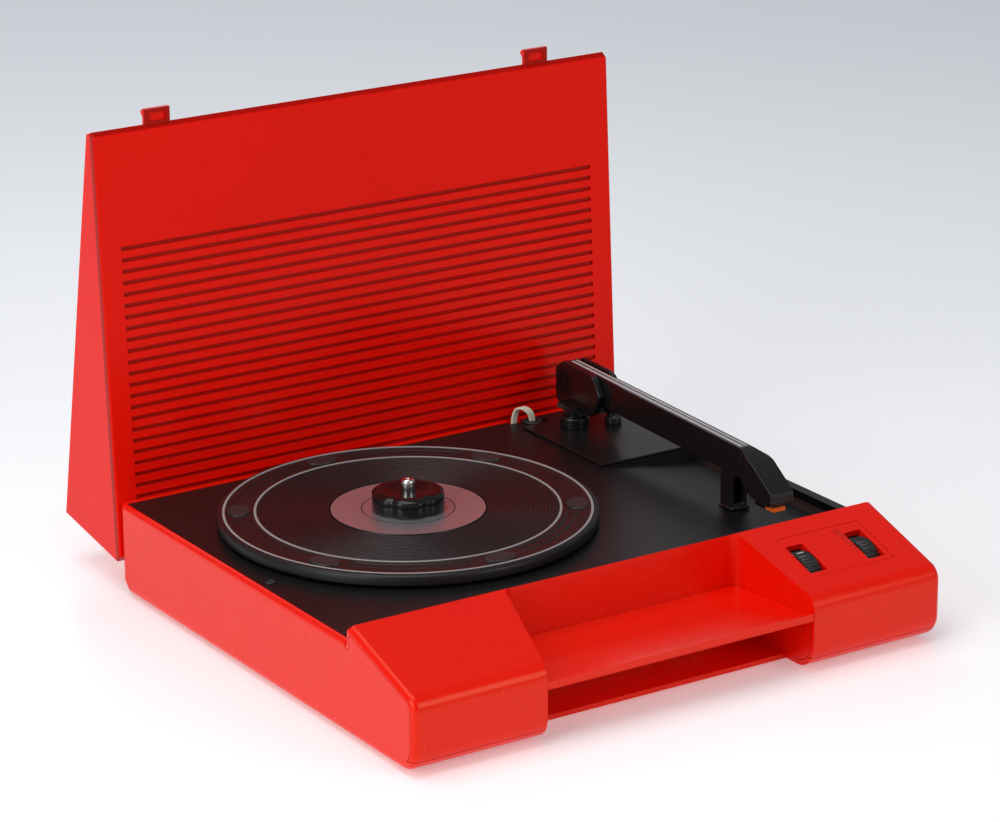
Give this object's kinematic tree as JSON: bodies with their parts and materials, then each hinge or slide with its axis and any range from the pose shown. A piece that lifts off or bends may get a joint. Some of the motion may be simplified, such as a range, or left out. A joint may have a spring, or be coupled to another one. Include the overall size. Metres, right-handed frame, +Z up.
{
  "type": "suitcase record player",
  "caption": "Portable suitcase record player, open: sloping front with carry grip, black deck, platter and tonearm, louvred wedge loudspeaker lid standing behind.",
  "frame": {"origin": "on the table, in the middle of the footprint of the open player", "axes": "+X to the right seen from the front, +Y to the back where the lid stands, +Z up"},
  "size_m": [0.314, 0.356, 0.252],
  "materials": {
    "red_moulding": "glossy moulded ABS",
    "lid_moulding": "glossy moulded ABS",
    "deck_black": "fine spark texture",
    "platter_black": "satin, turned grooves",
    "arm_black": "satin moulding",
    "gloss_black": "semi gloss",
    "rubber": "matt",
    "plated_steel": "zinc plated",
    "spindle_chrome": "polished",
    "label_silver": "satin disc",
    "arm_trim_silver": "brushed strip",
    "winding_copper": "enamelled wire under tape",
    "board_green": "circuit laminate",
    "baffle_board": "hardboard",
    "cone_paper": "pressed pulp",
    "lead_cream": "PVC twin lead",
    "stylus_orange": "moulded tab"
  },
  "bodies": {
    "base": {"base_tray": "red_moulding", "front_cover": "red_moulding", "handle_bar": "red_moulding", "control_panel": "red_moulding", "tone_pot": "plated_steel", "volume_pot": "plated_steel", "foot_1": "rubber", "foot_2": "rubber", "foot_3": "rubber", "foot_4": "rubber", "mains_inlet": "gloss_black", "lid_support_left": "gloss_black", "lid_support_right": "gloss_black", "deck_plate": "deck_black", "pivot_plate": "deck_black", "deck_screw_left": "plated_steel", "deck_screw_rear": "plated_steel", "trip_post": "arm_black", "motor": "plated_steel", "drive_belt": "rubber", "bearing_sleeve": "plated_steel", "spindle": "spindle_chrome", "transformer_core": "plated_steel", "transformer_coil": "winding_copper", "amplifier_board": "board_green", "arm_post": "arm_black", "arm_rest_post": "arm_black", "speaker_lead": "lead_cream", "lead_grommet": "rubber", "lead_plug": "gloss_black"},
    "tone_wheel": {"tone_wheel": "gloss_black"},
    "volume_wheel": {"volume_wheel": "gloss_black"},
    "motor_pulley": {"motor_pulley": "gloss_black"},
    "platter": {"platter": "platter_black", "label_disc": "label_silver", "pad_1": "rubber", "pad_2": "rubber", "pad_3": "rubber", "pad_4": "rubber", "pad_5": "rubber", "pad_6": "rubber"},
    "single_adapter": {"single_adapter": "gloss_black"},
    "arm_yoke": {"arm_yoke": "arm_black", "arm_pivot_pin": "plated_steel"},
    "tonearm": {"arm_beam": "arm_black", "arm_trim": "arm_trim_silver", "headshell": "arm_black", "cartridge": "arm_black"},
    "stylus_lever": {"stylus_lever": "stylus_orange"},
    "lid": {"lid_shell": "lid_moulding", "latch_hook_left": "lid_moulding", "latch_hook_right": "lid_moulding", "speaker_baffle": "baffle_board", "speaker_frame": "plated_steel", "speaker_cone": "cone_paper", "speaker_magnet": "plated_steel", "lid_socket": "gloss_black", "lid_lead": "lead_cream"}
  },
  "joints": [
    {"name": "platter_spin", "type": "hinge", "parent": "base", "child": "platter", "pos_m": [-0.0456, 0.0052, 0.05], "axis": [0, 0, 1], "continuous": true},
    {"name": "pulley_spin", "type": "hinge", "parent": "base", "child": "motor_pulley", "pos_m": [-0.10061, 0.06021, 0.05], "axis": [0, 0, 1], "continuous": true},
    {"name": "adapter_lift_off", "type": "slide", "parent": "platter", "child": "single_adapter", "axis": [0, 0, 1], "range_m": [0, 0.03]},
    {"name": "tone_turn", "type": "hinge", "parent": "base", "child": "tone_wheel", "pos_m": [0.0918, -0.14467, 0.03633], "axis": [1, 0, 0], "range_deg": [-135, 135]},
    {"name": "volume_turn", "type": "hinge", "parent": "base", "child": "volume_wheel", "pos_m": [0.1282, -0.14467, 0.03633], "axis": [1, 0, 0], "range_deg": [-135, 135]},
    {"name": "arm_swing", "type": "hinge", "parent": "base", "child": "arm_yoke", "pos_m": [0.1065, 0.0792, 0.062], "axis": [0, 0, 1], "range_deg": [-48, 0]},
    {"name": "arm_lift", "type": "hinge", "parent": "arm_yoke", "child": "tonearm", "pos_m": [0.1065, 0.0792, 0.076], "axis": [0.9989, -0.0462, 0], "range_deg": [-22, 0]},
    {"name": "stylus_flip", "type": "hinge", "parent": "tonearm", "child": "stylus_lever", "pos_m": [0.10567, -0.10095, 0.0596], "axis": [0.0462, 0.9989, 0], "range_deg": [0, 180]},
    {"name": "lid_lift_off", "type": "slide", "parent": "base", "child": "lid", "axis": [0, 0, 1], "range_m": [0, 0.08]}
  ],
  "couplings": [
    {"joint": "pulley_spin", "follows": "platter_spin", "ratio": 8.7762}
  ]
}
